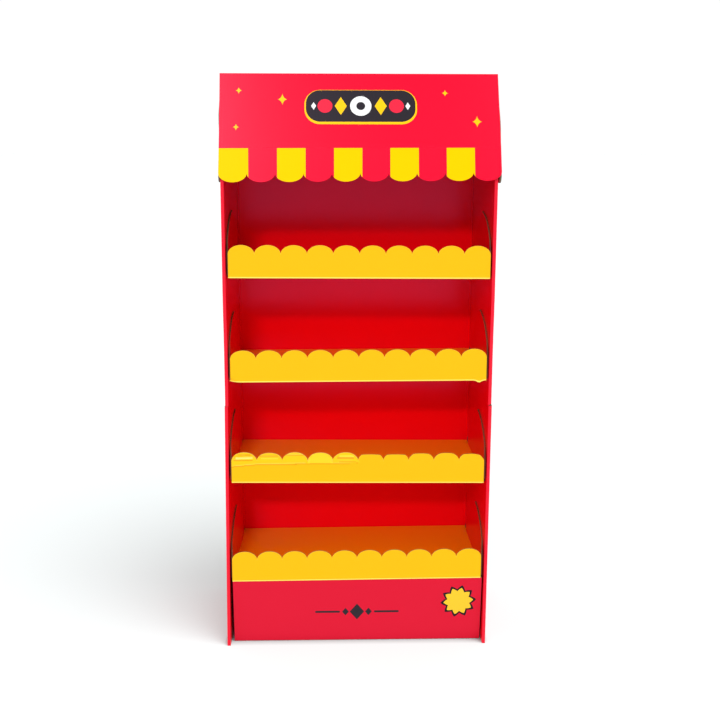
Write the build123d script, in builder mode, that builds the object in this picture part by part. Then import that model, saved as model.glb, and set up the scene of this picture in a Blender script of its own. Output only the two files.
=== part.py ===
"""Free-standing corrugated display unit with four shelf trays and an awning
header.  Millimetres, +Z up, the open front faces -Y.  The origin is on the
floor under the middle of the unit's outer box."""

import os
from math import atan2, cos, hypot, sin

from build123d import *

os.makedirs("parts", exist_ok=True)

# ---------------------------------------------------------------- dimensions
BOARD = 3.0            # B-flute board with a printed liner
FOLD_R = 1.6           # outside radius of a fold

BODY_W = 600.0         # outside of the side walls
BODY_D = 344.2         # front edges to the rear of the glued return flaps
WALL = 7.6             # doubled side wall: board, hollow, board
BODY_H = 1301.0        # top of the side walls, under the header's top panel
CUT_Z = 577.0          # cut through both walls, for folding the body in half
CUT_GAP = 0.8
GLUE_GAP = 0.2         # between the back panel and the flap glued to it
RETURN_FLAP = 60.0     # glued flap on the rear of the back panel

# how far the front edge of each wall stands out of (+) or inside (-) the
# nominal plane: (bottom, under the cut, over the cut, top)
LEAN_LEFT = (6.4, 0.6, -0.7, -2.2)
LEAN_RIGHT = (-1.4, -0.4, -1.7, -0.3)
TOE_IN = 5.0           # each side is this much narrower at the back panel

TRAY_W = 576.0
TRAY_FLOOR = 6.4       # two plies and the slit between them
TRAY_D = 336.0         # rear fold of the tray
LIP_H = 73.0
LIP_Y = 1.5            # front face of the lip
BUMPS = 10
BUMP_H = 20.0
SHELF_Z = (161.0, 396.3, 631.6, 866.2)      # undersides of the trays
SHELF_X = (-2.4, -0.4, 0.0, 0.0)            # how far each tray sits off centre
WING_TOP = 136.0       # apex of the side wing above the tray's underside
WING_APEX_Y = 150.0
WING_END_Y = 298.0     # the wing's fold ends here
WING_END_Z = 34.0
NOTCH = 1.0            # rear corner relief of the tray's upper ply
TAB_Y = (92.0, 246.0)  # middles of the hook tabs
TAB_L = 56.0
SLOT_Y = (301.0, 334.0)  # slot in the inner ply at each rear corner
SLOT_Z = (4.0, 14.5)     # above the tray's underside

KICK_W = 578.8
KICK_X = -1.8          # the kick panel sits a little to the left
KICK_LIFT = 0.8        # its foot stays just clear of the floor
KICK_TOP_Y = 4.5
KICK_FOOT_Y = 25.0
KICK_FLAP = 60.0

HEAD_W = 604.4         # over the side panels at the crease
HEAD_X = 0.9           # the header sits a little to the right
HEAD_FLARE = (1.5, 2.7)  # left and right, at the scallop line
HEAD_Y = -8.0          # front crease, in front of the body
HEAD_FOOT_Y = -12.5    # the valance stands out a little at its foot
HEAD_CREASE_Z = 1147.0
HEAD_FOOT_Z = 1075.0
HEAD_TOP_Y = 70.0
HEAD_TOP_Z = 1304.0
SCALLOPS = 10
SCALLOP_H = 19.0
SIDE_SCALLOPS = 6
SIDE_DROP = (1.5, 5.0)  # the left and right valances hang lower than the front one
HEAD_REAR_Y = 350.0
HEAD_REAR_FLAP = 90.0
GLUE_TAB = 34.0

# everything below is set out from the plane of the body's front edges
SHIFT_Y = -(HEAD_REAR_Y + HEAD_FOOT_Y) / 2
HALF = BODY_W / 2
INNER = HALF - WALL
BACK = BODY_D - 2 * BOARD - GLUE_GAP    # front face of the back panel


def lean(side, y, z):
    """Outward offset of the wall at depth y and height z."""
    a, b, c, d = LEAN_LEFT if side < 0 else LEAN_RIGHT
    if z <= CUT_Z:
        front = a + (b - a) * z / CUT_Z
    else:
        front = c + (d - c) * (z - CUT_Z) / (BODY_H - CUT_Z)
    return front * max(0.0, 1 - y / BACK) - TOE_IN * y / BACK


# ----------------------------------------------------------------- body wrap
# One sheet: return flap, outer side, front edge, inner side, back panel and
# the same again mirrored.  The two sides are cut through at mid height.
def section(z):
    """The sheet's cross-section at height z, as a closed list of corners."""
    rear, flap = BODY_D, BACK + BOARD + GLUE_GAP
    half = []
    for side in (1, -1):
        def at(x, y, side=side):
            return (side * (x + lean(side, y, z)), y + SHIFT_Y)
        printed = [
            at(HALF - RETURN_FLAP, rear), at(HALF, rear), at(HALF, 0.0),
            at(INNER, 0.0), at(INNER, BACK),
        ]
        plain = [
            at(INNER + BOARD, BACK + BOARD), at(INNER + BOARD, BOARD),
            at(HALF - BOARD, BOARD), at(HALF - BOARD, flap),
            at(HALF - RETURN_FLAP, flap),
        ]
        half.append((printed, plain))
    (p_right, q_right), (p_left, q_left) = half
    return p_right + p_left[::-1] + q_left[::-1] + q_right


with BuildPart() as body_wrap:
    for low, high in ((0.0, CUT_Z), (CUT_Z + CUT_GAP, BODY_H)):
        for z in (low, high):
            with BuildSketch(Plane.XY.offset(z)):
                with BuildLine():
                    Polyline(*section(z + (1e-6 if z == low else -1e-6)), close=True)
                make_face()
        loft(ruled=True)
        if low == 0.0:
            # the back panel is creased but not cut
            with BuildSketch(Plane.XY.offset(CUT_Z)):
                with Locations((0, BACK + BOARD / 2 + SHIFT_Y)):
                    Rectangle(2 * (INNER - TOE_IN), BOARD)
            extrude(amount=CUT_GAP)

    # the folds of the front edges are rounded
    front_folds = (
        body_wrap.edges()
        .filter_by(lambda e: abs(e.center().Y - SHIFT_Y) < 0.01 and e.length > 400)
    )
    fillet(front_folds, radius=FOLD_R)

    # crease across the rear of the back panel, level with the cut
    with BuildSketch(Plane.YZ.offset(-INNER - BOARD)):
        with BuildLine():
            y = BACK + BOARD + SHIFT_Y
            Polyline((y + 0.2, CUT_Z - 1.2), (y + 0.2, CUT_Z + 2.0), (y - 0.9, CUT_Z + 0.4), close=True)
        make_face()
    extrude(amount=2 * (INNER + BOARD), mode=Mode.SUBTRACT)

    # the tops of the walls follow the awning's slope
    slope = atan2(HEAD_TOP_Z - HEAD_CREASE_Z, HEAD_TOP_Y - HEAD_Y)
    drop = (BOARD + 0.6) / cos(slope)
    z_at_front = HEAD_CREASE_Z + (0.0 - HEAD_Y) * (sin(slope) / cos(slope)) - drop
    z_at_back = z_at_front + 120.0 * (sin(slope) / cos(slope))
    with BuildSketch(Plane.YZ.offset(-HALF - 20)):
        with BuildLine():
            Polyline(
                (SHIFT_Y - 30, z_at_front - 30 * (sin(slope) / cos(slope))),
                (SHIFT_Y + 120, z_at_back),
                (SHIFT_Y + 120, z_at_back + 60),
                (SHIFT_Y - 30, z_at_back + 60),
                close=True,
            )
        make_face()
    extrude(amount=BODY_W + 40, mode=Mode.SUBTRACT)

    # slots in the inner plies for the trays' hook tabs
    for z, dx in zip(SHELF_Z, SHELF_X):
        for side in (-1, 1):
            for y in TAB_Y:
                tip = INNER + BOARD + lean(side, y, z) + 1.3
                with BuildSketch(Plane.XY.offset(z)):
                    with Locations((side * (INNER - 9 + tip) / 2, y + SHIFT_Y)):
                        Rectangle(tip - INNER + 9, TAB_L + 2)
                extrude(amount=BOARD + 0.6, mode=Mode.SUBTRACT)
            # open slot over the tray's rear corner
            tip = INNER + BOARD - TOE_IN * SLOT_Y[0] / BACK + 0.8
            with BuildSketch(Plane.XY.offset(z + SLOT_Z[0])):
                with Locations((side * (INNER - 12 + tip) / 2, sum(SLOT_Y) / 2 + SHIFT_Y)):
                    Rectangle(tip - INNER + 12, SLOT_Y[1] - SLOT_Y[0])
            extrude(amount=SLOT_Z[1] - SLOT_Z[0], mode=Mode.SUBTRACT)
body_wrap.part.label = "body_wrap"
export_step(body_wrap.part, "parts/body_wrap.step")


# --------------------------------------------------------------- shelf trays
# One sheet each: scalloped lip, lower ply with hook tabs, rear fold, upper
# ply and the two side wings that stand up from it.
trays = []
for number, (z, dx) in enumerate(zip(SHELF_Z, SHELF_X), start=1):
    name = f"shelf_tray_{5 - number}"
    with BuildPart() as tray:
        # lip with its row of bumps
        front = Plane((dx, LIP_Y + BOARD + SHIFT_Y, z), x_dir=(1, 0, 0), z_dir=(0, -1, 0))
        bump = TRAY_W / BUMPS
        with BuildSketch(front):
            with Locations((0, (LIP_H - BUMP_H) / 2)):
                Rectangle(TRAY_W, LIP_H - BUMP_H)
            for i in range(BUMPS):
                with Locations((-TRAY_W / 2 + bump * (i + 0.5), LIP_H - BUMP_H)):
                    Ellipse(bump / 2, BUMP_H)
        extrude(amount=BOARD)
        fold_edge = (
            tray.edges()
            .filter_by(Axis.X)
            .group_by(Axis.Z)[0]
            .sort_by(Axis.Y)[0]
        )
        fillet(fold_edge, radius=BOARD * 0.8)

        half = TRAY_W / 2
        toe = TOE_IN / BACK
        y_lip = LIP_Y + BOARD

        # lower ply, set in a little from the fold of the wings
        with BuildSketch(Plane.XY.offset(z)):
            with BuildLine():
                w_a, w_b = half - 1.5 - toe * y_lip, half - 1.5 - toe * TRAY_D
                Polyline(
                    (dx - w_a, y_lip + SHIFT_Y),
                    (dx + w_a, y_lip + SHIFT_Y),
                    (dx + w_b, TRAY_D + SHIFT_Y),
                    (dx - w_b, TRAY_D + SHIFT_Y),
                    close=True,
                )
            make_face()
            for side in (-1, 1):
                for y in TAB_Y:
                    tip = INNER + BOARD + lean(side, y, z) + 0.8
                    root = half - 12 + side * dx
                    with Locations((side * (root + tip) / 2, y + SHIFT_Y)):
                        Rectangle(tip - root, TAB_L)
        extrude(amount=BOARD)
        # upper ply
        with BuildSketch(Plane.XY.offset(z + BOARD + 0.4)):
            with BuildLine():
                w_a, w_b = half - toe * (y_lip + 0.6), half - toe * TRAY_D
                Polyline(
                    (dx - w_a, y_lip + 0.6 + SHIFT_Y),
                    (dx + w_a, y_lip + 0.6 + SHIFT_Y),
                    (dx + w_b, TRAY_D + SHIFT_Y),
                    (dx - w_b, TRAY_D + SHIFT_Y),
                    close=True,
                )
            make_face()
        extrude(amount=BOARD)
        # rear fold that joins the two plies
        with BuildSketch(Plane.XY.offset(z)):
            with Locations((dx, TRAY_D - BOARD / 2 + SHIFT_Y)):
                Rectangle(2 * (half - 1.5 - toe * TRAY_D), BOARD)
        extrude(amount=TRAY_FLOOR)
        # side wings
        for side in (-1, 1):
            turn = atan2(side * toe, 1.0)
            wing = Plane(
                (dx + side * half, SHIFT_Y, z),
                x_dir=(-sin(turn), cos(turn), 0),
                z_dir=(cos(turn), sin(turn), 0),
            )
            with BuildSketch(wing):
                with BuildLine():
                    a, top = 5.0, LIP_H - BUMP_H
                    foot = Line((a, BOARD + 0.4), (WING_END_Y, BOARD + 0.4))
                    rear = Line(foot @ 1, (WING_END_Y, WING_END_Z))
                    fall = Line(rear @ 1, (WING_APEX_Y + 5, WING_TOP - 2.5))
                    apex = ThreePointArc(
                        fall @ 1,
                        (WING_APEX_Y - 1, WING_TOP),
                        (WING_APEX_Y - 9, WING_TOP - 2.0),
                    )
                    arc = ThreePointArc(apex @ 1, (52.0, 104.0), (a, top + 2))
                    Line(arc @ 1, foot @ 0)
                make_face()
            extrude(amount=-side * BOARD)
        # relief in both rear corners, up to the end of the wings' folds
        for side in (-1, 1):
            with BuildSketch(Plane.XY.offset(z + BOARD + 0.2)):
                with BuildLine():
                    edge = half - toe * WING_END_Y
                    x0, x1 = dx + side * (edge - NOTCH), dx + side * (edge + 4)
                    Polyline(
                        (x1, WING_END_Y + 0.5 + SHIFT_Y),
                        (x0 + side * 2.0, WING_END_Y + 0.5 + SHIFT_Y),
                        (x0, WING_END_Y + 6 + SHIFT_Y),
                        (x0 - side * 1.0, TRAY_D + 2 + SHIFT_Y),
                        (x1, TRAY_D + 2 + SHIFT_Y),
                        close=True,
                    )
                make_face()
            extrude(amount=TRAY_FLOOR + 2, mode=Mode.SUBTRACT)
        rear_fold = (
            tray.edges()
            .filter_by(Axis.X)
            .filter_by(lambda e: abs(e.center().Y - TRAY_D - SHIFT_Y) < 0.01)
        )
        fillet(rear_fold, radius=1.4)
    tray.part.label = name
    export_step(tray.part, f"parts/{name}.step")
    trays.append(tray.part)


# ---------------------------------------------------------------- kick panel
# One sheet: a flap glued under the lowest tray, and the panel that hangs from
# its front fold and leans back to the floor.
with BuildPart() as kick_panel:
    z_top = SHELF_Z[0]
    with BuildSketch(Plane.YZ.offset(KICK_X - KICK_W / 2)):
        with BuildLine():
            run = hypot(KICK_FOOT_Y - KICK_TOP_Y, z_top - KICK_LIFT)
            ny, nz = (z_top - KICK_LIFT) / run, (KICK_FOOT_Y - KICK_TOP_Y) / run
            Polyline(
                (KICK_TOP_Y + SHIFT_Y, z_top),
                (KICK_TOP_Y + KICK_FLAP + SHIFT_Y, z_top),
                (KICK_TOP_Y + KICK_FLAP + SHIFT_Y, z_top - BOARD),
                (KICK_TOP_Y + BOARD + 0.6 + SHIFT_Y, z_top - BOARD),
                (KICK_FOOT_Y + BOARD * ny + SHIFT_Y, BOARD * nz + 0.2 + KICK_LIFT),
                (KICK_FOOT_Y + SHIFT_Y, KICK_LIFT),
                close=True,
            )
        make_face()
    extrude(amount=KICK_W)
    kick_fold = (
        kick_panel.edges().filter_by(Axis.X).group_by(Axis.Z)[-1].sort_by(Axis.Y)[0]
    )
    fillet(kick_fold, radius=FOLD_R)
kick_panel.part.label = "kick_panel"
export_step(kick_panel.part, "parts/kick_panel.step")


# ------------------------------------------------------------ awning header
# One sheet: rear flap, top panel with two side panels, sloped roof and the
# scalloped front valance.  The side panels' glue tabs lie behind the valance.
head_half = HEAD_W / 2
pitch = (HEAD_W + sum(HEAD_FLARE)) / SCALLOPS
fall = hypot(HEAD_CREASE_Z - HEAD_FOOT_Z, HEAD_Y - HEAD_FOOT_Y)
tilt = atan2(HEAD_Y - HEAD_FOOT_Y, HEAD_CREASE_Z - HEAD_FOOT_Z)

with BuildPart() as header:
    # roof, top panel and rear flap
    ry, rz = sin(slope) * BOARD, -cos(slope) * BOARD
    with BuildSketch(Plane.YZ.offset(HEAD_X - head_half)):
        with BuildLine():
            Polyline(
                (HEAD_Y + SHIFT_Y, HEAD_CREASE_Z),
                (HEAD_TOP_Y + SHIFT_Y, HEAD_TOP_Z),
                (HEAD_REAR_Y + SHIFT_Y, HEAD_TOP_Z),
                (HEAD_REAR_Y + SHIFT_Y, HEAD_TOP_Z - HEAD_REAR_FLAP),
                (HEAD_REAR_Y - BOARD + SHIFT_Y, HEAD_TOP_Z - HEAD_REAR_FLAP),
                (HEAD_REAR_Y - BOARD + SHIFT_Y, HEAD_TOP_Z - BOARD),
                (HEAD_TOP_Y + BOARD * 0.55 + SHIFT_Y, HEAD_TOP_Z - BOARD),
                (HEAD_Y + ry + SHIFT_Y, HEAD_CREASE_Z + rz),
                close=True,
            )
        make_face()
    extrude(amount=HEAD_W)
    # the rear flap is narrower than the top panel
    for side in (-1, 1):
        with BuildSketch(Plane.XY.offset(HEAD_TOP_Z - HEAD_REAR_FLAP - 1)):
            with Locations((HEAD_X + side * (head_half - 6), HEAD_REAR_Y - 1 + SHIFT_Y)):
                Rectangle(14, 6)
        extrude(amount=HEAD_REAR_FLAP - BOARD, mode=Mode.SUBTRACT)

    # front valance with its row of scallops
    valance = Plane(
        (HEAD_X, HEAD_Y + SHIFT_Y, HEAD_CREASE_Z),
        x_dir=(1, 0, 0),
        z_dir=(0, -cos(tilt), sin(tilt)),
    )
    with BuildSketch(valance):
        with BuildLine():
            line_v = -(fall - SCALLOP_H)
            Polyline(
                (-head_half, 0),
                (head_half, 0),
                (head_half + HEAD_FLARE[1], line_v),
                (-head_half - HEAD_FLARE[0], line_v),
                close=True,
            )
        make_face()
        for i in range(SCALLOPS):
            with Locations((-head_half - HEAD_FLARE[0] + pitch * (i + 0.5), line_v)):
                Ellipse(pitch / 2, SCALLOP_H)
    extrude(amount=-BOARD)

    # side panels: gable above, scalloped valance below
    y_front = HEAD_Y + BOARD + 0.2
    y_line = HEAD_FOOT_Y + BOARD + 0.9
    side_pitch = (HEAD_REAR_Y - y_line) / SIDE_SCALLOPS
    for side, lower_by, flare in zip((-1, 1), SIDE_DROP, HEAD_FLARE):
        side_line = HEAD_FOOT_Z + SCALLOP_H - lower_by
        gable = Plane(
            (HEAD_X + side * head_half, SHIFT_Y, HEAD_CREASE_Z - 2.5),
            x_dir=(0, 1, 0),
            z_dir=(1, 0, 0),
        )
        with BuildSketch(gable):
            with BuildLine():
                rise = HEAD_TOP_Z - HEAD_CREASE_Z + 2.5
                Polyline(
                    (HEAD_Y + ry, 0),
                    (HEAD_Y + ry + 0.3, 2.5 + rz),
                    (HEAD_TOP_Y + BOARD * 0.5, rise - BOARD * 0.9),
                    (HEAD_REAR_Y, rise - BOARD * 0.9),
                    (HEAD_REAR_Y, 0),
                    close=True,
                )
            make_face()
        extrude(amount=-side * BOARD)
        # the lower part leans out with the valance
        depth = HEAD_CREASE_Z - 2.5 - side_line
        lean_out = atan2(flare, depth)
        lower = Plane(
            (HEAD_X + side * head_half, SHIFT_Y, HEAD_CREASE_Z - 2.5),
            x_dir=(0, 1, 0),
            z_dir=(cos(lean_out), 0, side * sin(lean_out)),
        )
        with BuildSketch(lower):
            with BuildLine():
                Polyline(
                    (HEAD_Y + ry, 0.05),
                    (HEAD_REAR_Y, 0.05),
                    (HEAD_REAR_Y, -depth),
                    (y_line, -depth),
                    close=True,
                )
            make_face()
            for i in range(SIDE_SCALLOPS):
                with Locations((y_line + side_pitch * (i + 0.5), -depth)):
                    Ellipse(side_pitch / 2, SCALLOP_H)
        extrude(amount=-side * BOARD)
        # glue tab behind the valance
        behind = Plane(
            (HEAD_X + side * (head_half - GLUE_TAB / 2 - 1.5), HEAD_Y + SHIFT_Y, HEAD_CREASE_Z),
            x_dir=(1, 0, 0),
            z_dir=(0, -cos(tilt), sin(tilt)),
        ).offset(-BOARD)
        with BuildSketch(behind):
            with Locations((0, (line_v - 8) / 2)):
                Rectangle(GLUE_TAB, -line_v - 12)
        extrude(amount=-BOARD)

    # rounded folds along the crease, the ridge and the rear
    long_folds = header.edges().filter_by(Axis.X).filter_by(
        lambda e: e.length > HEAD_W - 1
        and (
            abs(e.center().Z - HEAD_CREASE_Z) < 0.05
            or abs(e.center().Z - HEAD_TOP_Z) < 0.05
        )
    )
    fillet(long_folds, radius=FOLD_R)
header.part.label = "header"
export_step(header.part, "parts/header.step")
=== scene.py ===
import math

import bmesh
import bpy
from mathutils import Matrix, Vector, noise


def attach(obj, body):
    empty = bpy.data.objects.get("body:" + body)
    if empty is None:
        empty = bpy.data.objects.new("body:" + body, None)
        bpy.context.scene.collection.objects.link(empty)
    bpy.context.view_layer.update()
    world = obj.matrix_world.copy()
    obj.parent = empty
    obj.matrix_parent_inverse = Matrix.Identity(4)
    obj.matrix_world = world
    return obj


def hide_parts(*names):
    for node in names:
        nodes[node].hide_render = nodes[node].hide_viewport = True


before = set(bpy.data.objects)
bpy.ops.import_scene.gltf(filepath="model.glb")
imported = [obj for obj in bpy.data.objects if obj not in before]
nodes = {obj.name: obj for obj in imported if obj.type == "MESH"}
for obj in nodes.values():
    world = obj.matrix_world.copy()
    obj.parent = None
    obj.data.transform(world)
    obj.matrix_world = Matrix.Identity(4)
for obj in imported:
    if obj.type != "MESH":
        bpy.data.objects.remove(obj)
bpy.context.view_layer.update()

# ------------------------------------------------------------------ dimensions
# the same as in the solid model, in millimetres, from the front plane of the body
SHIFT = -168.75
BODY_D, BACK, BODY_H, CUT_Z = 344.2, 338.0, 1301.0, 577.0
LEAN_LEFT = (6.4, 0.6, -0.7, -2.2)
LEAN_RIGHT = (-1.4, -0.4, -1.7, -0.3)
TOE_IN = 5.0
TOE = TOE_IN / BACK
SHELVES = {
    "shelf_tray_4": (161.0, -2.4),
    "shelf_tray_3": (396.3, -0.4),
    "shelf_tray_2": (631.6, 0.0),
    "shelf_tray_1": (866.2, 0.0),
}
TRAY_W, LIP_H, BUMP_H, TRAY_D = 576.0, 73.0, 20.0, 336.0
INNER = 292.4
HEAD_W, HEAD_X = 604.4, 0.9
CREASE = (-8.0, 1147.0)
RIDGE = (70.0, 1304.0)
FOOT = (-12.5, 1075.0)
HEAD_REAR_Y = 350.0
KICK_TOP, KICK_FOOT = (4.5, 161.0), (25.0, 0.8)
FLUTE = 6.5


def lean(side, y, z):
    a, b, c, d = LEAN_LEFT if side < 0 else LEAN_RIGHT
    if z <= CUT_Z:
        front = a + (b - a) * z / CUT_Z
    else:
        front = c + (d - c) * (z - CUT_Z) / (BODY_H - CUT_Z)
    return front * max(0.0, 1 - y / BACK) - TOE_IN * y / BACK


# ------------------------------------------------------------------- materials
class Val:
    """A shader value that takes + - * / and comparisons."""

    def __init__(self, tree, socket):
        self.tree, self.socket = tree, socket

    def m(self, op, *others):
        n = self.tree.nodes.new("ShaderNodeMath")
        n.operation = op
        for i, v in enumerate((self,) + others):
            if isinstance(v, Val):
                self.tree.links.new(v.socket, n.inputs[i])
            else:
                n.inputs[i].default_value = float(v)
        return Val(self.tree, n.outputs[0])

    def __add__(self, o):
        return self.m("ADD", o)

    __radd__ = __add__

    def __mul__(self, o):
        return self.m("MULTIPLY", o)

    __rmul__ = __mul__

    def __sub__(self, o):
        return self.m("SUBTRACT", o)

    def __rsub__(self, o):
        return (self * -1.0) + o

    def __truediv__(self, o):
        return self.m("DIVIDE", o)

    def abs(self):
        return self.m("ABSOLUTE")

    def lt(self, o):
        return self.m("LESS_THAN", o)

    def gt(self, o):
        return self.m("GREATER_THAN", o)

    def max(self, o):
        return self.m("MAXIMUM", o)

    def min(self, o):
        return self.m("MINIMUM", o)

    def pow(self, o):
        return self.m("POWER", o)

    def sin(self):
        return self.m("SINE")


def inside(u, v, cx, cy, hx, hy, r=0.0):
    """1 inside a rounded rectangle."""
    dx = ((u - cx).abs() - (hx - r)).max(0.0)
    dy = ((v - cy).abs() - (hy - r)).max(0.0)
    if r == 0.0:
        return (u - cx).abs().lt(hx) * (v - cy).abs().lt(hy)
    return (dx * dx + dy * dy).lt(r * r)


def disc(u, v, cx, cy, r):
    du, dv = u - cx, v - cy
    return (du * du + dv * dv).lt(r * r)


def diamond(u, v, cx, cy, hx, hy):
    return ((u - cx).abs() / hx + (v - cy).abs() / hy).lt(1.0)


def sparkle(u, v, cx, cy, hx, hy, p=0.62):
    return (((u - cx).abs() / hx).pow(p) + ((v - cy).abs() / hy).pow(p)).lt(1.0)


def burst(u, v, cx, cy, hx, hy, points, turn, dip):
    """1 inside a star of many points."""
    du, dv = (u - cx) / hx, (v - cy) / hy
    ang = dv.m("ARCTAN2", du) * (points / math.tau) + turn
    wave = (ang.m("FRACT") - 0.5).abs() * 2.0
    rad = (du * du + dv * dv).m("SQRT")
    return rad.lt(wave * dip + (1.0 - dip))


def shader(name, colour, rough=0.3, spec=0.2, layers=None, ripple=None, depth=6e-6,
           tone=0.03, coat=0.0, tint=(1.0, 0.62, 1.0)):
    """A printed or plain board surface.  layers(x, y, z) gives (mask, colour) pairs in
    millimetres of the row frame; ripple is the axis that the fluting shows along."""
    mat = bpy.data.materials.new(name)
    mat.use_nodes = True
    t = mat.node_tree
    bsdf = t.nodes["Principled BSDF"]
    bsdf.inputs["Roughness"].default_value = rough
    bsdf.inputs["Specular IOR Level"].default_value = spec
    bsdf.inputs["Specular Tint"].default_value = (*tint, 1)
    bsdf.inputs["Coat Weight"].default_value = coat
    bsdf.inputs["Coat Roughness"].default_value = 0.08
    co = t.nodes.new("ShaderNodeTexCoord")
    sep = t.nodes.new("ShaderNodeSeparateXYZ")
    t.links.new(co.outputs["Object"], sep.inputs[0])
    x, y, z = (Val(t, sep.outputs[i]) * 1000.0 for i in range(3))
    cloud = t.nodes.new("ShaderNodeTexNoise")
    cloud.inputs["Scale"].default_value = 9.0
    cloud.inputs["Detail"].default_value = 4.0
    t.links.new(co.outputs["Object"], cloud.inputs["Vector"])
    grain = t.nodes.new("ShaderNodeTexNoise")
    grain.inputs["Scale"].default_value = 420.0
    grain.inputs["Detail"].default_value = 2.0
    t.links.new(co.outputs["Object"], grain.inputs["Vector"])
    if layers is None:
        base = t.nodes.new("ShaderNodeRGB")
        base.outputs[0].default_value = (*colour, 1)
        now = base.outputs[0]
    else:
        base = t.nodes.new("ShaderNodeRGB")
        base.outputs[0].default_value = (*colour, 1)
        now = base.outputs[0]
        for mask, c in layers(x, y, z):
            mix = t.nodes.new("ShaderNodeMix")
            mix.data_type = "RGBA"
            t.links.new(mask.socket, mix.inputs[0])
            t.links.new(now, mix.inputs[6])
            mix.inputs[7].default_value = (*c, 1)
            now = mix.outputs[2]
    shade = (Val(t, cloud.outputs["Fac"]) - 0.5) * tone + (
        Val(t, grain.outputs["Fac"]) - 0.5
    ) * tone + 1.0
    vary = t.nodes.new("ShaderNodeVectorMath")
    vary.operation = "SCALE"
    t.links.new(now, vary.inputs[0])
    t.links.new(shade.socket, vary.inputs["Scale"])
    t.links.new(vary.outputs[0], bsdf.inputs["Base Color"])
    # slight hills in the liner, and the fluting that shows through it
    height = (Val(t, cloud.outputs["Fac"]) - 0.5) * 1.4e-4
    if ripple is not None:
        s = {"x": x, "y": y, "z": z}[ripple]
        height = height + (s * (math.tau / FLUTE)).sin() * depth
    bump = t.nodes.new("ShaderNodeBump")
    bump.inputs["Distance"].default_value = 1.0
    bump.inputs["Strength"].default_value = 1.0
    t.links.new(height.socket, bump.inputs["Height"])
    t.links.new(bump.outputs[0], bsdf.inputs["Normal"])
    return mat


def raw_edge(name, liner, medium, hollow_shade):
    """The cut edge of the board: two liners with the waved medium between them, and painted shade in the hollows of
    the flutes.
    """
    mat = bpy.data.materials.new(name)
    mat.use_nodes = True
    t = mat.node_tree
    bsdf = t.nodes["Principled BSDF"]
    bsdf.inputs["Roughness"].default_value = 0.85
    bsdf.inputs["Specular IOR Level"].default_value = 0.2
    uv = t.nodes.new("ShaderNodeUVMap")
    uv.uv_map = "board"
    sep = t.nodes.new("ShaderNodeSeparateXYZ")
    t.links.new(uv.outputs[0], sep.inputs[0])
    s, d = Val(t, sep.outputs[0]), Val(t, sep.outputs[1])
    wave = (s * math.tau).sin() * 0.36 + 0.5
    paper = (d - wave).abs().lt(0.10)
    skin = (d - 0.5).abs().gt(0.40)
    now = None
    for mask, a, b in ((paper, hollow_shade, medium), (skin, None, liner)):
        mix = t.nodes.new("ShaderNodeMix")
        mix.data_type = "RGBA"
        t.links.new(mask.socket, mix.inputs[0])
        if now is None:
            mix.inputs[6].default_value = (*a, 1)
        else:
            t.links.new(now, mix.inputs[6])
        mix.inputs[7].default_value = (*b, 1)
        now = mix.outputs[2]
    t.links.new(now, bsdf.inputs["Base Color"])
    return mat


RED = (0.97, 0.0001, 0.004)
RED_AWNING = (0.95, 0.0008, 0.024)
RED_KICK = (0.67, 0.005, 0.024)
YELLOW = (0.92, 0.470, 0.002)
YELLOW_AWNING = (0.97, 0.56, 0.0005)
ORANGE = (1.0, 0.31, 0.0003)
KRAFT = (0.42, 0.27, 0.15)
CHARCOAL = (0.018, 0.018, 0.020)
WHITE = (0.85, 0.85, 0.83)

wall_out = shader("wall_print", RED, 0.28, ripple="y")
# the front folds are a darker copy of the red print: painted shade that tones down the light they catch
wall_fold = shader("wall_fold", (0.80, 0.012, 0.030), 0.34, 0.16)
wall_in = shader("wall_inner", (0.87, 0.0001, 0.004), 0.28, 0.30, ripple="y", tint=(1.0, 0.35, 1.0))
back_in = shader("back_print", RED, 0.20, 0.30, ripple="x", tint=(1.0, 0.35, 1.0))
# near-black kraft on the faces inside the walls' hollow: painted shade for the deep slots they are seen through
kraft_painted_shade = shader("kraft_painted_shade", (0.05, 0.028, 0.016), 0.85, 0.1, tone=0.10)
# the third colour of each raw edge is painted shade for the hollows of the flutes
cut_head = raw_edge("cut_head", (0.16, 0.10, 0.06), (0.13, 0.08, 0.045), (0.03, 0.018, 0.010))
kraft = shader("kraft_liner", KRAFT, 0.75, 0.25, tone=0.14, ripple=None)
cut = raw_edge("cut_edge", (0.40, 0.26, 0.14), (0.33, 0.21, 0.11), (0.05, 0.030, 0.018))
cut_rim = shader("cut_rim_red", (0.95, 0.10, 0.14), 0.5)
lip_print = shader("lip_print", YELLOW, 0.30, 0.12, ripple="z")
# lighter copies of the lip's yellow: painted light on the bumps bent back above the crease, brightest on the fourth
# bump
lip_lift = shader("lip_lift", (0.95, 0.54, 0.004), 0.30, 0.14, ripple="z")
lip_bright = shader("lip_bright", (0.98, 0.64, 0.014), 0.30, 0.16)
# painted highlight streaks along the creases
lip_gloss = shader("lip_gloss", (1.0, 0.67, 0.035), 0.28, 0.20)
# a darker copy of the yellow: painted shade along the crease lines
lip_line = shader("lip_line", (0.76, 0.33, 0.002), 0.35, 0.10)
lip_rim = shader("lip_rim", (1.0, 0.82, 0.14), 0.45, 0.12)
# pale yellow on the fold at the lip's foot: a painted highlight along the fold
lip_fold = shader("lip_fold", (1.0, 0.80, 0.13), 0.40, 0.12)
floor_print = shader("floor_print", ORANGE, 0.26, 0.04, ripple="y")
wing_print = shader("wing_print", (0.87, 0.0001, 0.004), 0.30, 0.14, ripple="y", tint=(1.0, 0.4, 1.0))
# here too the third colour is painted shade for the flutes' hollows
cut_wing = raw_edge("cut_wing", (0.20, 0.060, 0.030), (0.15, 0.045, 0.022), (0.030, 0.010, 0.006))
cut_lip = raw_edge("cut_lip", (0.62, 0.42, 0.14), (0.50, 0.33, 0.12), (0.16, 0.09, 0.03))


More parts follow.
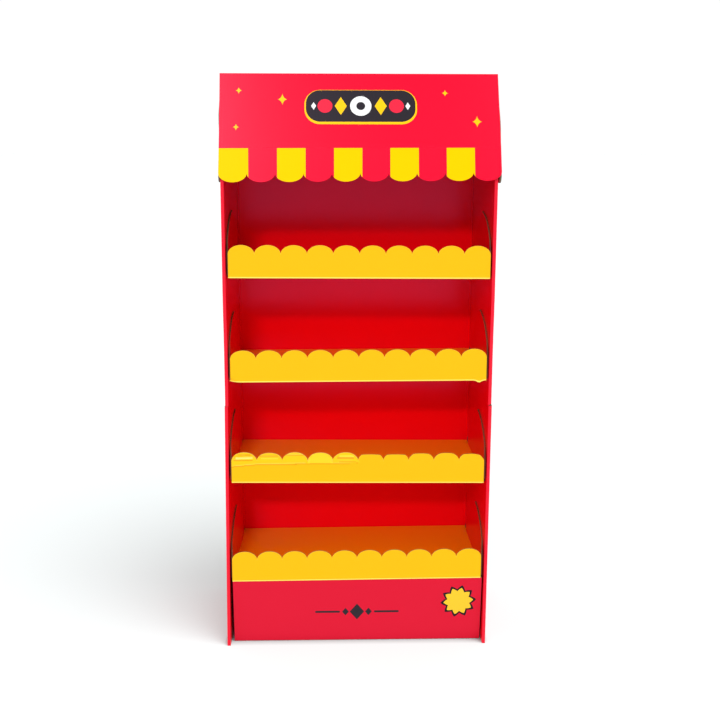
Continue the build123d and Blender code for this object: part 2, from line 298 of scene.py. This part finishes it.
def roof_layers(x, y, z):
    rise = math.hypot(RIDGE[0] - CREASE[0], RIDGE[1] - CREASE[1])
    u = x - HEAD_X
    v = (z - CREASE[1]) * (rise / (RIDGE[1] - CREASE[1]))
    out = []
    for cx, cy, hx, hy in (
        (-260.1, 134.3, 7.2, 8.2), (-166.1, 113.8, 10.6, 14.0), (-264.9, 48.6, 7.2, 8.2),
        (185.1, 129.4, 7.2, 8.2), (252.7, 62.3, 10.8, 14.2),
    ):
        out.append((sparkle(u, v, cx, cy, hx, hy), YELLOW_AWNING))
    # a plain plaque: one rounded bar with a thin yellow surround, and a row of shapes
    out.append((inside(u, v, 2.5, 96.0, 121.2, 40.2, 34.2), YELLOW_AWNING))
    out.append((inside(u, v, 2.5, 98.5, 118.0, 37.0, 31.0), CHARCOAL))
    out.append((disc(u, v, 2.5, 98.5, 23.0), WHITE))
    out.append((disc(u, v, 2.5, 98.5, 9.5), CHARCOAL))
    for side in (-1, 1):
        out.append((diamond(u, v, 2.5 + side * 43.0, 98.5, 13.0, 21.0), YELLOW_AWNING))
        out.append((disc(u, v, 2.5 + side * 77.0, 98.5, 16.0), (0.86, 0.02, 0.05)))
        out.append((diamond(u, v, 2.5 + side * 101.5, 98.5, 5.5, 9.0), WHITE))
    return out


STRIPES = ((-400.0, -238.6), (-177.2, -116.3), (-55.6, 4.9), (64.9, 126.0), (186.0, 246.6))


def side_layers(x, y, z):
    v = y - SHIFT
    first = FOOT[0] + 3.9
    step = (HEAD_REAR_Y - first) / 6
    out = []
    for i in (0, 2, 4):
        out.append((inside(v, z, first + step * (i + 0.5), 900.0, step / 2, 500.0), YELLOW_AWNING))
    return out


def kick_layers(x, y, z):
    out = []
    # starburst
    out.append((burst(x, z, 234.6, 101.3, 42.0, 42.5, 10, 0.828, 0.27), (0.006, 0.006, 0.006)))
    out.append((burst(x, z, 234.6, 101.3, 35.0, 35.4, 10, 0.828, 0.26), (0.92, 0.55, 0.022)))
    # a divider: line, three diamonds, line
    ink = CHARCOAL
    out.append((diamond(x, z, -3.0, 76.0, 17.0, 21.0), ink))
    for side in (-1, 1):
        out.append((diamond(x, z, -3.0 + side * 27.0, 76.0, 8.0, 10.0), ink))
        out.append((inside(x, z, -3.0 + side * 69.0, 76.0, 29.0, 2.6, 2.5), ink))
    return out


roof_print = shader("awning_roof", RED_AWNING, 0.27, 0.065, layers=roof_layers, ripple="x")
awning_plain = shader("awning_plain", RED_AWNING, 0.27, 0.065, ripple="x")
valance_print = shader("awning_valance", RED_AWNING, 0.28, 0.075, ripple="x")
stripe_print = shader("awning_stripe", YELLOW_AWNING, 0.30, 0.05, ripple="x", tint=(1.0, 0.8, 0.15))
side_print = shader("awning_side", RED_AWNING, 0.27, 0.065, layers=side_layers, ripple="y")
kick_print = shader("kick_print", RED_KICK, 0.30, layers=kick_layers, ripple="x")
rim_yellow = shader("rim_yellow", (0.97, 0.85, 0.22), 0.5)


# ---------------------------------------------------------------- the sheets
def start(name):
    """A copy of the solid's mesh, with whole faces in place of triangles."""
    bm = bmesh.new()
    bm.from_mesh(nodes[name].data)
    bmesh.ops.remove_doubles(bm, verts=bm.verts, dist=2e-6)
    bmesh.ops.dissolve_limit(
        bm, angle_limit=math.radians(0.12), verts=bm.verts, edges=bm.edges
    )
    bm.normal_update()
    return bm


def rim(bm, kinds, pair, offset, new_kind):
    """Chamfers the die-cut outline between two kinds of face."""
    layer = bm.faces.layers.int["kind"]
    a, b = (kinds.index(k) if isinstance(k, str) else k for k in pair)
    edges = [
        e for e in bm.edges
        if len(e.link_faces) == 2
        and {e.link_faces[0][layer], e.link_faces[1][layer]} == {a, b}
    ]
    if not edges:
        return
    made = bmesh.ops.bevel(
        bm, geom=edges, offset=offset, offset_type="OFFSET", segments=1,
        profile=0.5, affect="EDGES", clamp_overlap=True,
    )
    for f in made["faces"]:
        f[layer] = kinds.index(new_kind)


def finish_sheet(name, bm, kinds, materials, board):
    """Makes the object: one material per kind of face, flute coordinates on the cut edges."""
    layer = bm.faces.layers.int["kind"]
    uv = bm.loops.layers.uv.new("board")
    for f in bm.faces:
        kind = kinds[f[layer]]
        f.material_index = list(materials).index(kind)
        f.smooth = False
        for loop in f.loops:
            p = loop.vert.co * 1000
            loop[uv].uv = board(kind, f, p) if kind.startswith("cut") else (0.0, 0.0)
    me = bpy.data.meshes.new(name + "_sheet")
    bm.to_mesh(me)
    bm.free()
    obj = bpy.data.objects.new(name + "_sheet", me)
    bpy.context.scene.collection.objects.link(obj)
    for k in materials:
        me.materials.append(materials[k])
    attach(obj, "root")
    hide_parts(name)
    return obj


def classify(bm, kinds, rule):
    layer = bm.faces.layers.int.new("kind")
    for f in bm.faces:
        c = f.calc_center_median() * 1000
        f[layer] = kinds.index(rule(f, c, f.normal))


def cut_planes(bm, axis, values, keep):
    """Cuts the faces that keep() accepts along planes across one axis."""
    for v in values:
        geom = [f for f in bm.faces if keep(f)]
        parts = set()
        for f in geom:
            parts.update(f.verts)
            parts.update(f.edges)
        co, no = Vector((0, 0, 0)), Vector((0, 0, 0))
        co[axis], no[axis] = v, 1.0
        bmesh.ops.bisect_plane(bm, geom=list(parts) + geom, dist=1e-6, plane_co=co, plane_no=no)


def smooth01(t):
    t = min(1.0, max(0.0, t))
    return t * t * (3 - 2 * t)


# body: one sheet, printed outside
def body_rule(f, c, n):
    side = 1 if c.x > 0 else -1
    y = c.y - SHIFT
    x = abs(c.x) - lean(side, y, c.z)
    if abs(n.z) > 0.5:
        return "cut_z"
    if y < 1.7 and n.y < 0.2:
        return "fold" if abs(n.x) < 0.75 else ("out" if x > 296 else "in")
    if abs(n.x) > 0.7:
        if x > 298.6:
            return "out"
        if x > 293.9:
            return "kraft" if y > 338.5 else "hollow"
        if x > 290.8 and y < 339.0:
            return "in"
        return "cut_x"
    if n.y < 0 and abs(y - BACK) < 1.2:
        return "back"
    if n.y > 0 and y > 343.5:
        return "out"
    if 2.0 < y < 4.0:
        return "hollow"
    if y > 339.5:
        return "kraft"
    return "cut_x"


def body_board(kind, f, p):
    side = 1 if p.x > 0 else -1
    y = p.y - SHIFT
    x = abs(p.x) - lean(side, y, p.z)
    if kind == "cut_z":
        if abs(y - 1.5) < 1.6:
            return ((p.x) / FLUTE, y / 3.0)
        if y > 341.0 and x < 297.5:
            return (p.x / FLUTE, (344.2 - y) / 3.0)
        if x > 296.5:
            return (y / FLUTE, (300 - x) / 3.0)
        if x > 291.5 and y < 338.2:
            return (y / FLUTE, (x - 292.4) / 3.0)
        return (p.x / FLUTE, (y - BACK) / 3.0)
    return (0.25, (344.2 - y) / 3.0 if y > 340 else (x - 292.4) / 3.0)


BODY_KINDS = ["out", "in", "back", "fold", "kraft", "hollow", "cut_z", "cut_x", "rim"]
bm = start("body_wrap")
classify(bm, BODY_KINDS, body_rule)
# the joint is nicked at the right front corner
cut_planes(bm, 1, [(SHIFT + 14.0) / 1000], lambda f: f.calc_center_median().x > 0.298)
for v in bm.verts:
    if abs(v.co.z * 1000 - CUT_Z - 0.8) < 0.2 and v.co.x > 0.2965 and v.co.y * 1000 - SHIFT < 4.0:
        v.co.z += 0.0032
# above the middle the walls bow out a little
cut_planes(bm, 2, [z / 1000 for z in (705, 740, 780, 820, 960, 1066, 1095, 1126)], lambda f: abs(f.calc_center_median().x) > 0.28)
for v in bm.verts:
    y, z = v.co.y * 1000 - SHIFT, v.co.z * 1000
    if abs(v.co.x) > 0.28:
        bow = 0.75 * smooth01((z - 700) / 120.0) * (1 - smooth01((z - 1066) / 60.0)) * max(0.0, 1 - y / BACK)
        v.co.x += math.copysign(bow / 1000, v.co.x)
bm.normal_update()
finish_sheet(
    "body_wrap", bm, BODY_KINDS,
    {"out": wall_out, "in": wall_in, "back": back_in, "fold": wall_fold, "kraft": kraft, "hollow": kraft_painted_shade,
     "cut_z": cut, "cut_x": cut, "rim": cut_rim},
    body_board,
)


# trays: lip yellow, floor orange, wings red
def tray_rule_for(z0, dx):
    def rule(f, c, n):
        y, z, x = c.y - SHIFT, c.z - z0, abs(c.x - dx)
        # the fold at the lip's foot takes the painted highlight
        if y < 4.6 and z < 3.0 and n.y < -0.1:
            return "lip_fold"
        if y < 4.3 and n.y < -0.3:
            return "lip"
        if n.y > 0.7 and 3.5 < y < 5.6 and z > 6.0:
            return "kraft"
        if n.z > 0.9 and 6.0 < z < 6.9:
            return "floor"
        if n.z < -0.9 and z < 0.4:
            return "under"
        if abs(n.z) > 0.9 and 2.4 < z < 4.0:
            return "kraft"
        if y > 334.4 and n.y > 0.1:
            return "floor"
        if abs(n.x) > 0.9 and y > 4.0:
            edge = TRAY_W / 2 - TOE * y
            if x > edge - 1.4 and z > 3.0:
                return "kraft"
            if abs(x - edge + 3.0) < 1.4 and z > 6.0:
                return "wing"
        if z > 7.0 and y > 4.6:
            return "cut_wing"
        if z > 40.0:
            return "cut_lip"
        return "cut"
    return rule


def tray_board_for(z0, dx):
    def board(kind, f, p):
        y, z, x = p.y - SHIFT, p.z - z0, abs(p.x - dx)
        if y < 4.8:
            return (z / FLUTE, (y - 1.5) / 3.0)
        edge = TRAY_W / 2 - TOE * y
        if z > 6.6:
            return (y / FLUTE, (x - edge + 3.0) / 3.0)
        return (y / FLUTE, (6.4 - z) / 3.0 if z > 3.2 else z / 3.0)
    return board


TRAY_KINDS = ["lip", "lip_lift", "lip_bright", "lip_gloss", "lip_line", "lip_fold", "kraft", "floor", "under", "wing", "cut", "cut_lip", "cut_wing", "rim"]
# how far each lip's left and right ends stand right of their nominal places
ENDS = {"shelf_tray_1": (1.7, 0.0), "shelf_tray_2": (1.8, -2.7), "shelf_tray_3": (0.3, -2.3), "shelf_tray_4": (-1.0, -1.6)}
# how far the left and right ends of each tray hang above their slots
HANG = {"shelf_tray_1": (0.3, -2.2), "shelf_tray_2": (0.4, 3.0), "shelf_tray_3": (1.9, -2.1), "shelf_tray_4": (-2.1, 1.9)}


def bend_lip(bm, z0, dx, move):
    """Moves the lip's points by move(x, z, front): x from the lip's left end, z from its foot."""
    for v in bm.verts:
        y = v.co.y * 1000 - SHIFT
        if y > 5.0:
            continue
        x = v.co.x * 1000 - dx + TRAY_W / 2
        z = v.co.z * 1000 - z0
        dxyz = move(x, z, (y - 1.5) / 3.0)
        v.co.x += dxyz[0] / 1000
        v.co.y += dxyz[1] / 1000
        v.co.z += dxyz[2] / 1000


def spread_wings(bm, z0, dx):
    """The wings and the floor's edges press outwards until they lie against the walls."""
    def wing(f):
        c = f.calc_center_median() * 1000
        return c.y - SHIFT > 4.9 and c.z - z0 > 6.6 and abs(c.x - dx) > 270.0
    cut_planes(bm, 2, [(z0 + h) / 1000 for h in (7.5, 11, 15, 20, 26, 33, 41, 50)], wing)
    cut_planes(bm, 1, [(SHIFT + 22.0 * i) / 1000 for i in range(1, 14)], wing)
    for v in bm.verts:
        y, z, x = v.co.y * 1000 - SHIFT, v.co.z * 1000, v.co.x * 1000 - dx
        if z - z0 < 3.2 or y < 4.9 or abs(x) < 270.0:
            continue
        s = 1 if x > 0 else -1
        gap = INNER + lean(s, y, z) - (TRAY_W / 2 - TOE * y + s * dx) - 0.35
        v.co.x += s * gap * (0.35 + 0.65 * smooth01((y - 4.9) / 26.0)) / 1000


def tray(name, move=None):
    z0, dx = SHELVES[name]
    bm = start(name)
    near = lambda f: f.calc_center_median().y * 1000 - SHIFT < 4.8
    cut_planes(bm, 2, [(z0 + 3.0) / 1000], near)
    classify(bm, TRAY_KINDS, tray_rule_for(z0, dx))
    rim(bm, TRAY_KINDS, ("lip", "cut_lip"), 0.0009, "rim")
    spread_wings(bm, z0, dx)
    if move is not None:
        cut_planes(bm, 2, [(z0 + 5.0 + 2.1 * i) / 1000 for i in range(33)], near)
        cut_planes(bm, 0, [(dx - TRAY_W / 2 + 4.8 * i) / 1000 for i in range(1, 120)], near)
        if move is crushed:
            cut_planes(bm, 2, [(z0 + h) / 1000 for h in (46.6, 45.0, 49.4, 51.5, 52.9, 58.0)], near)
            # the creased lip's faces take painted light, painted highlight and painted shade
            layer = bm.faces.layers.int["kind"]
            for f in bm.faces:
                if TRAY_KINDS[f[layer]] == "lip":
                    c = f.calc_center_median() * 1000
                    f[layer] = TRAY_KINDS.index(crease_kind(c.x - dx + TRAY_W / 2, c.z - z0))
        bmesh.ops.triangulate(bm, faces=[f for f in bm.faces if near(f) and len(f.verts) > 4])
        bend_lip(bm, z0, dx, move)
    left, right = HANG[name]
    end_l, end_r = ENDS[name]
    for v in bm.verts:
        t = (v.co.x * 1000 - dx + TRAY_W / 2) / TRAY_W
        v.co.z += (left + (right - left) * t) / 1000
        if v.co.y * 1000 - SHIFT < 4.8:
            v.co.x += (end_l + (end_r - end_l) * t) / 1000
    bm.normal_update()
    obj = finish_sheet(
        name, bm, TRAY_KINDS,
        {"lip": lip_print, "lip_lift": lip_lift, "lip_bright": lip_bright, "lip_gloss": lip_gloss, "lip_line": lip_line, "lip_fold": lip_fold, "kraft": kraft, "floor": floor_print,
         "under": floor_print, "wing": wing_print, "cut": cut, "cut_lip": cut_lip,
         "cut_wing": cut_wing, "rim": lip_rim},
        tray_board_for(z0, dx),
    )
    return obj


def bent(profile, z):
    """How far back a lip stands at height z: profile is (height, slope above it) pairs."""
    back, last = 0.0, None
    for i, (start_z, slope) in enumerate(profile):
        end_z = profile[i + 1][0] if i + 1 < len(profile) else 1000.0
        if z > start_z:
            back += slope * (min(z, end_z) - start_z)
    return back


# the second tray from the bottom has its lip creased and its bumps crushed
CREASE_LINE = ((0.0, 38.6), (42.0, 42.6), (60.0, 44.2), (231.0, 46.6), (300.0, 48.0), (600.0, 50.0))
BUMP_CAP = (73.5, 73.5, 73.5, 73.5, 73.5, 68.0, 68.0, 70.4, 71.6, 69.6)
BENDS = (
    ((0.0, 0.08), (15.5, 0.34), (22.0, 0.85), (25.5, 0.15)),
    ((0.0, 0.10), (17.0, 0.55), (20.5, 0.10), (23.0, -0.15)),
    ((0.0, 0.12), (22.0, 0.60)),
    ((0.0, 0.52),),
    ((0.0, 0.12), (5.0, 0.26), (14.0, 0.62), (17.0, 0.12)),
)


def crease_height(x):
    for (xa, za), (xb, zb) in zip(CREASE_LINE, CREASE_LINE[1:]):
        if xa <= x <= xb:
            return za + (zb - za) * (x - xa) / (xb - xa)
    return za


# bands of painted highlight and painted shade along the creases: kind, then x and z ranges
BANDS = (
    ("lip_gloss", 10.0, 46.0, 57.5, 61.5), ("lip_line", 6.0, 50.0, 52.4, 54.4), ("lip_line", 14.0, 44.0, 66.0, 68.0),
    ("lip_gloss", 66.0, 106.0, 57.5, 60.5), ("lip_line", 64.0, 108.0, 63.0, 66.5),
    ("lip_line", 124.0, 164.0, 65.5, 67.6), ("lip_gloss", 126.0, 162.0, 68.0, 71.0),
    ("lip_line", 240.0, 280.0, 58.5, 61.0), ("lip_line", 246.0, 286.0, 50.0, 52.0), ("lip_gloss", 244.0, 276.0, 62.0, 66.0),
    ("lip_line", 178.0, 232.0, 45.0, 47.2),
)


def crease_kind(x, z):
    """The kind of face of the creased lip at a point: painted shade along the crease line, painted light on the bumps
    bent back above it, painted highlight in the bands, the print elsewhere.
    """
    for kind, xa, xb, za, zb in BANDS:
        if xa < x < xb and za < z < zb:
            return kind
    line = crease_height(min(TRAY_W, max(0.0, x)))
    if x < 290.0:
        if -1.6 < z - line < 0.4:
            return "lip_line"
        if z > line:
            return "lip_bright" if 173.5 < x < 230.0 else "lip_lift"
    return "lip"


def crushed(x, z, front):
    x = min(TRAY_W, max(0.0, x))
    line = crease_height(x)
    i = min(9, max(0, int(x / 57.6)))
    cap = BUMP_CAP[i]
    dz = 0.0
    if z > cap - 1.0:
        dz = (cap - 1.0 + (z - cap + 1.0) * 1.0 / (LIP_H - cap + 1.0)) - z
    dy = 0.0
    if i < 5 and z > line:
        dz = -(3.0, 2.8, 2.1, 5.2, 2.3)[i] * (z - line) / (LIP_H - line)
    if i < 5:
        fade = 1.0 - smooth01((x - 268.0) / 26.0)
        # a ridge along the crease, and the bumps bent back above it
        dy -= 0.32 * max(0.0, 3.2 - abs(z - line)) * fade * 0.8
        # neighbouring bumps share the bend at the foot between them
        mid = (i + 0.5) * 57.6
        dy += bent(BENDS[i], z - line) * fade * (1.0 if abs(x - mid) < 22 else 0.75)
    if i == 9 and x > 552.0:
        dz -= 0.35 * (x - 552.0) * smooth01((z - 45.0) / 20.0) * 0.35
    return 0.0, dy, dz


# the tray above it has a crumpled corner at the left and a puffed fold at the right
def crumpled(x, z, front):
    corner = 1.0 - x / 16.0 - z / 14.0
    dy = 5.0 * max(0.0, corner)
    dz = 2.2 * max(0.0, corner)
    dz -= 4.6 * math.exp(-((x - 560.0) / 6.0) ** 2) * (1.0 - smooth01(z / 9.0))
    dy -= 1.2 * math.exp(-((x - 560.0) / 8.0) ** 2) * (1.0 - smooth01(z / 14.0))
    return 0.0, dy, dz


tray("shelf_tray_4")
tray("shelf_tray_3", crushed)
tray("shelf_tray_2", crumpled)
tray("shelf_tray_1")


# kick panel
KICK_KINDS = ["front", "kraft", "cut"]


def kick_rule(f, c, n):
    if abs(n.x) > 0.9:
        return "cut"
    if n.y < -0.2:
        return "front"
    if n.z < -0.9 and c.z < 2.0:
        return "cut"
    return "kraft"


def kick_board(kind, f, p):
    y = p.y - SHIFT
    run = (KICK_FOOT[0] - KICK_TOP[0]) / (KICK_TOP[1] - KICK_FOOT[1])
    return (p.x / FLUTE if abs(f.normal.z) > 0.5 else 0.25, (y - (KICK_TOP[0] + (KICK_TOP[1] - p.z) * run)) / 3.0)


bm = start("kick_panel")
classify(bm, KICK_KINDS, kick_rule)
# its flap and fold hang with the lowest tray
for v in bm.verts:
    if v.co.z > 0.150:
        t = (v.co.x * 1000 - SHELVES["shelf_tray_4"][1] + TRAY_W / 2) / TRAY_W
        left, right = HANG["shelf_tray_4"]
        v.co.z += (left + (right - left) * t) / 1000
bm.normal_update()
finish_sheet("kick_panel", bm, KICK_KINDS, {"front": kick_print, "kraft": kraft, "cut": cut}, kick_board)


# awning header
HEAD_KINDS = ["roof", "plain", "valance", "stripe", "side", "kraft", "cut", "rim", "rim_stripe"]
_run = math.hypot(RIDGE[0] - CREASE[0], RIDGE[1] - CREASE[1])
ROOF_N = (-(RIDGE[1] - CREASE[1]) / _run, (RIDGE[0] - CREASE[0]) / _run)
_fall = math.hypot(CREASE[0] - FOOT[0], CREASE[1] - FOOT[1])
VAL_N = (-(CREASE[1] - FOOT[1]) / _fall, (CREASE[0] - FOOT[0]) / _fall)


def head_depth(c):
    """Signed distances in front of the roof plane and the valance plane."""
    y = c.y - SHIFT - CREASE[0]
    z = c.z - CREASE[1]
    return y * ROOF_N[0] + z * ROOF_N[1], y * VAL_N[0] + z * VAL_N[1]


def side_out(c):
    """How far a point stands inside the outer face of the side panel."""
    drop = max(0.0, CREASE[1] - 2.5 - c.z)
    flare = 1.5 / 53.0 if c.x < HEAD_X else 2.7 / 56.5
    return HEAD_W / 2 + flare * drop - abs(c.x - HEAD_X)


def head_rule(f, c, n):
    roof, val = head_depth(c)
    y = c.y - SHIFT
    if abs(n.x) > 0.9:
        d = side_out(c)
        if d < 0.9 and n.x * (c.x - HEAD_X) > 0:
            return "side" if c.z < CREASE[1] - 2.6 else "plain"
        if 2.2 < d < 4.2 and n.x * (c.x - HEAD_X) < 0:
            return "kraft"
        return "cut"
    if abs(c.x - HEAD_X) > HEAD_W / 2 - 3.2 and roof < -2.0 and n.y < -0.2:
        return "cut"
    if c.z < CREASE[1] - 1.0:
        if val > -0.8 and n.y < -0.8:
            return "valance"
        if abs(n.y) > 0.9 and y < 5:
            return "kraft" if f.calc_area() > 2e-4 else "cut"
        return "cut"
    if roof > -0.9 and n.y < -0.2:
        return "roof"
    if c.z > RIDGE[1] - 1.7 and n.z > -0.1 and y > RIDGE[0] - 2.0:
        return "plain"
    if y > HEAD_REAR_Y - 1.7 and n.y > 0.2:
        return "plain"
    return "kraft" if abs(n.x) < 0.3 and f.calc_area() > 2e-4 else "cut"


def head_board(kind, f, p):
    roof, val = head_depth(p)
    y = p.y - SHIFT
    if y < 4.5 and p.z < CREASE[1]:
        return (p.x / FLUTE, -val / 3.0)
    if p.z < CREASE[1]:
        return (y / FLUTE, side_out(p) / 3.0)
    return (y / FLUTE, side_out(p) / 3.0)


bm = start("header")
classify(bm, HEAD_KINDS, head_rule)
rim(bm, HEAD_KINDS, ("valance", "cut"), 0.0013, "rim")
layer = bm.faces.layers.int["kind"]
for f in bm.faces:
    u = f.calc_center_median().x * 1000 - HEAD_X
    if HEAD_KINDS[f[layer]] == "rim" and any(a < u < b for a, b in STRIPES):
        f[layer] = HEAD_KINDS.index("rim_stripe")
cut_planes(bm, 0, [(HEAD_X + 60.5 * i) / 1000 for i in range(-4, 5)], lambda f: True)
cut_planes(bm, 2, [(CREASE[1] + h) / 1000 for h in (-2.0, 20.0, 40.0, 55.0, 70.0, 85.0, 100.0, 125.0)], lambda f: True)
# the valance's stripes, set out before the sheet is skewed; those at the right splay out
def stripe_edge(e, z):
    t = (e + HEAD_W / 2) / HEAD_W
    splay = 0.0045 * max(0.0, e) * ((CREASE[1] - z) / (CREASE[1] - FOOT[1]) * 2 - 1)
    return e - 0.95 * max(0.0, 0.5 - t) * 2 + splay


for e in (e for ab in STRIPES for e in ab if e > -300.0):
    top, foot = stripe_edge(e, CREASE[1]), stripe_edge(e, FOOT[1])
    parts = set()
    for f in bm.faces:
        if HEAD_KINDS[f[layer]] == "valance":
            parts.update(f.verts)
            parts.update(f.edges)
            parts.add(f)
    bmesh.ops.bisect_plane(
        bm, geom=list(parts), dist=1e-6,
        plane_co=Vector(((HEAD_X + top) / 1000, 0, CREASE[1] / 1000)),
        plane_no=Vector((CREASE[1] - FOOT[1], 0, foot - top)).normalized(),
    )
for f in bm.faces:
    c = f.calc_center_median() * 1000
    if HEAD_KINDS[f[layer]] == "valance" and any(
        stripe_edge(a, c.z) < c.x - HEAD_X < stripe_edge(b, c.z) for a, b in STRIPES
    ):
        f[layer] = HEAD_KINDS.index("stripe")
# raw edges of the gables that stand proud of the roof's ends
parts = set()
for f in bm.faces:
    c = f.calc_center_median() * 1000
    if abs(f.normal.x) > 0.9 and abs(c.x - HEAD_X) > HEAD_W / 2 - 1.0 and c.z > CREASE[1]:
        parts.update(f.verts)
        parts.update(f.edges)
        parts.add(f)
bmesh.ops.bisect_plane(
    bm, geom=list(parts), dist=1e-6,
    plane_co=Vector((0, SHIFT + CREASE[0] - 2.9 * ROOF_N[0], CREASE[1] - 2.9 * ROOF_N[1])) / 1000,
    plane_no=Vector((0, ROOF_N[0], ROOF_N[1])),
)
for f in bm.faces:
    c = f.calc_center_median() * 1000
    low, high = (1187.0, 1247.0) if c.x < 0 else (1167.0, 1232.0)
    if (abs(f.normal.x) > 0.9 and abs(c.x - HEAD_X) > HEAD_W / 2 - 1.0
            and low < c.z < high and -3.2 < head_depth(c)[0] < 0.2):
        f[layer] = HEAD_KINDS.index("cut")
# the header sits a little askew: its right end is pulled up towards the foot of the valance
for v in bm.verts:
    x, z = v.co.x * 1000 - HEAD_X, v.co.z * 1000
    t = (x + HEAD_W / 2) / HEAD_W
    y, drop = v.co.y * 1000 - SHIFT, (CREASE[1] - z) / (CREASE[1] - FOOT[1])
    if z < CREASE[1]:
        pull = 2.0 + 2.2 * drop * (1 - smooth01((y + 4.0) / 6.0))
        v.co.x += (1.3 - 0.7 * drop) * max(0.0, 0.5 - t) * 2 / 1000
    else:
        up = (z - CREASE[1]) / (RIDGE[1] - CREASE[1])
        pull = 2.0 * (1 - up)
        v.co.x += 1.3 * (1 - up * up) * max(0.0, 0.5 - t) * 2 / 1000
        # the front edges of the gables stand proud of the roof's ends
        front = head_depth(Vector((0, v.co.y * 1000, z)))[0]
        if abs(x) > HEAD_W / 2 - 3.5 and front < -2.4:
            proud = 1.7 * math.exp(-((z - (1214.0 if x < 0 else 1196.0)) / (24.0 if x < 0 else 34.0)) ** 2)
            v.co.x += math.copysign(proud * math.exp(-max(0.0, -front - 3.0) / 60.0) / 1000, x)
    v.co.z += pull * t / 1000
bm.normal_update()
awning = finish_sheet(
    "header", bm, HEAD_KINDS,
    {"roof": roof_print, "plain": awning_plain, "valance": valance_print, "stripe": stripe_print, "side": side_print,
     "kraft": kraft, "cut": cut_head, "rim": cut_rim, "rim_stripe": rim_yellow},
    head_board,
)


# ------------------------------------------------------------------ the stage
def emit(name, size, place, target, watts, colour=(1, 1, 1), shape="RECTANGLE"):
    data = bpy.data.lights.new(name, "AREA")
    data.shape = shape
    data.size = size[0]
    data.size_y = size[1]
    data.energy = watts
    data.color = colour
    obj = bpy.data.objects.new(name, data)
    bpy.context.scene.collection.objects.link(obj)
    obj.location = place
    obj.rotation_euler = (Vector(target) - Vector(place)).to_track_quat("-Z", "Y").to_euler()
    return obj


bpy.ops.mesh.primitive_plane_add(size=60.0, location=(0, 0, -0.0002))
floor = bpy.context.object
floor.name = "floor"
white = bpy.data.materials.new("floor_white")
white.use_nodes = True
fb = white.node_tree.nodes["Principled BSDF"]
# the floor's colour is a little cool, which cancels the red light the walls bounce onto it
fb.inputs["Base Color"].default_value = (0.243, 0.260, 0.260, 1)
fb.inputs["Roughness"].default_value = 0.9
fb.inputs["Specular IOR Level"].default_value = 0.0
# half of the floor's light is its own glow, so that the red walls do not tint it; the glow dies away close to the
# object's foot, which paints a contact shade there
ft = white.node_tree
place = ft.nodes.new("ShaderNodeTexCoord")
axes = ft.nodes.new("ShaderNodeSeparateXYZ")
ft.links.new(place.outputs["Object"], axes.inputs[0])
fx, fy = (Val(ft, axes.outputs[i]) * 1000.0 for i in range(2))
depth = ((fy - SHIFT) / BACK).max(0.0).min(1.0)
out_x = (fx * -1.0 - 305.4 + depth * 11.4).max(fx - 297.6 + depth * 3.6).max(0.0)
out_y = (fy * -1.0 + (SHIFT + 24.5)).max(0.0) * 0.4 + (fy - (SHIFT + 344.5)).max(0.0)
away = (out_x * out_x + out_y * out_y).m("SQRT")
glow = (away / 10.0).min(1.0)
ft.links.new((glow * 0.31).socket, fb.inputs["Emission Strength"])
fb.inputs["Emission Color"].default_value = (1, 1, 1, 1)
floor.data.materials.append(white)

world = bpy.data.worlds.new("studio")
bpy.context.scene.world = world
world.use_nodes = True
bg = world.node_tree.nodes["Background"]
bg.inputs["Color"].default_value = (1, 1, 1, 1)
bg.inputs["Strength"].default_value = 1.02

key = emit("key", (1.3, 0.4), (-1.45, -8.7, 4.6), (0, 0, 0.7), 240.0)
# a broad light from the right that falls on the floor only, past the object
side = bpy.data.lights.new("side_light", "SUN")
side.energy = 6.5
side.angle = math.radians(39)
side_light = bpy.data.objects.new("side_light", side)
bpy.context.scene.collection.objects.link(side_light)
side_light.rotation_euler = Vector((-0.27, 0.36, -0.89)).to_track_quat("-Z", "Y").to_euler()
only_floor = bpy.data.collections.new("only_floor")
only_floor.objects.link(floor)
side_light.light_linking.receiver_collection = only_floor

# tall soft lights at both sides whose sheen falls on the awning only, the left one strong
only_awning = bpy.data.collections.new("only_awning")
only_awning.objects.link(awning)
for name, s, watts in (("strip_left", -1, 1600.0), ("strip_right", 1, 130.0)):
    strip = emit(name, (0.4, 5.2), (s * 1.6, -3.5, 3.4), (s * 0.2, -0.18, 1.2), watts)
    strip.rotation_euler.rotate_axis("Z", -s * math.radians(11))
    strip.visible_diffuse = False
    strip.light_linking.receiver_collection = only_awning

cam = bpy.data.cameras.new("camera")
cam.sensor_width = 36.0
cam.lens = 1161.44 / 720 * 36.0
cam.clip_end = 200.0
camera = bpy.data.objects.new("camera", cam)
bpy.context.scene.collection.objects.link(camera)
yaw, pitch, roll = 0.02938, 0.21298, 0.00265
fwd = Vector((math.sin(yaw) * math.cos(pitch), math.cos(yaw) * math.cos(pitch), -math.sin(pitch)))
right = Vector((math.cos(yaw), -math.sin(yaw), 0.0))
up = right.cross(fwd)
r2 = right * math.cos(roll) + up * math.sin(roll)
u2 = -right * math.sin(roll) + up * math.cos(roll)
camera.matrix_world = Matrix((
    (r2.x, u2.x, -fwd.x, -0.07198),
    (r2.y, u2.y, -fwd.y, -2.52361 + SHIFT / 1000),
    (r2.z, u2.z, -fwd.z, 1.22929),
    (0, 0, 0, 1),
))
bpy.context.scene.camera = camera
bpy.context.scene.view_settings.view_transform = "Standard"
